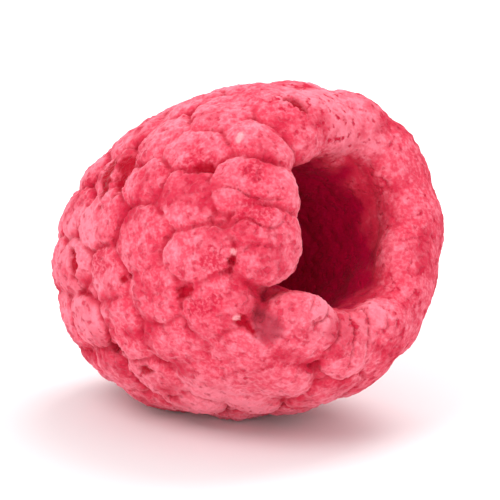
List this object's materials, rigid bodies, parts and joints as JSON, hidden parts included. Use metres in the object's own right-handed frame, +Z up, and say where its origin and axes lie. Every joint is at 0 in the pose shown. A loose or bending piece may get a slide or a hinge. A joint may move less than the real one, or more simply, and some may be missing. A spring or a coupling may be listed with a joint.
{
  "type": "raspberry",
  "caption": "Whole freeze-dried raspberry, picked off its core: fused drupelets round a hollow that is open at the rim, lying on its side.",
  "frame": {"origin": "on the surface that the fruit rests on, below the middle of its box", "axes": "+X level along the fruit, towards its open end; +Z up; +Y away from the side that shows in the picture"},
  "size_m": [0.0243, 0.02, 0.0205],
  "materials": {
    "flesh": "matt, powdery, coral crimson on the crowns and deeper red in the creases and the hollow"
  },
  "bodies": {
    "root": {"raspberry": "flesh"}
  },
  "joints": []
}
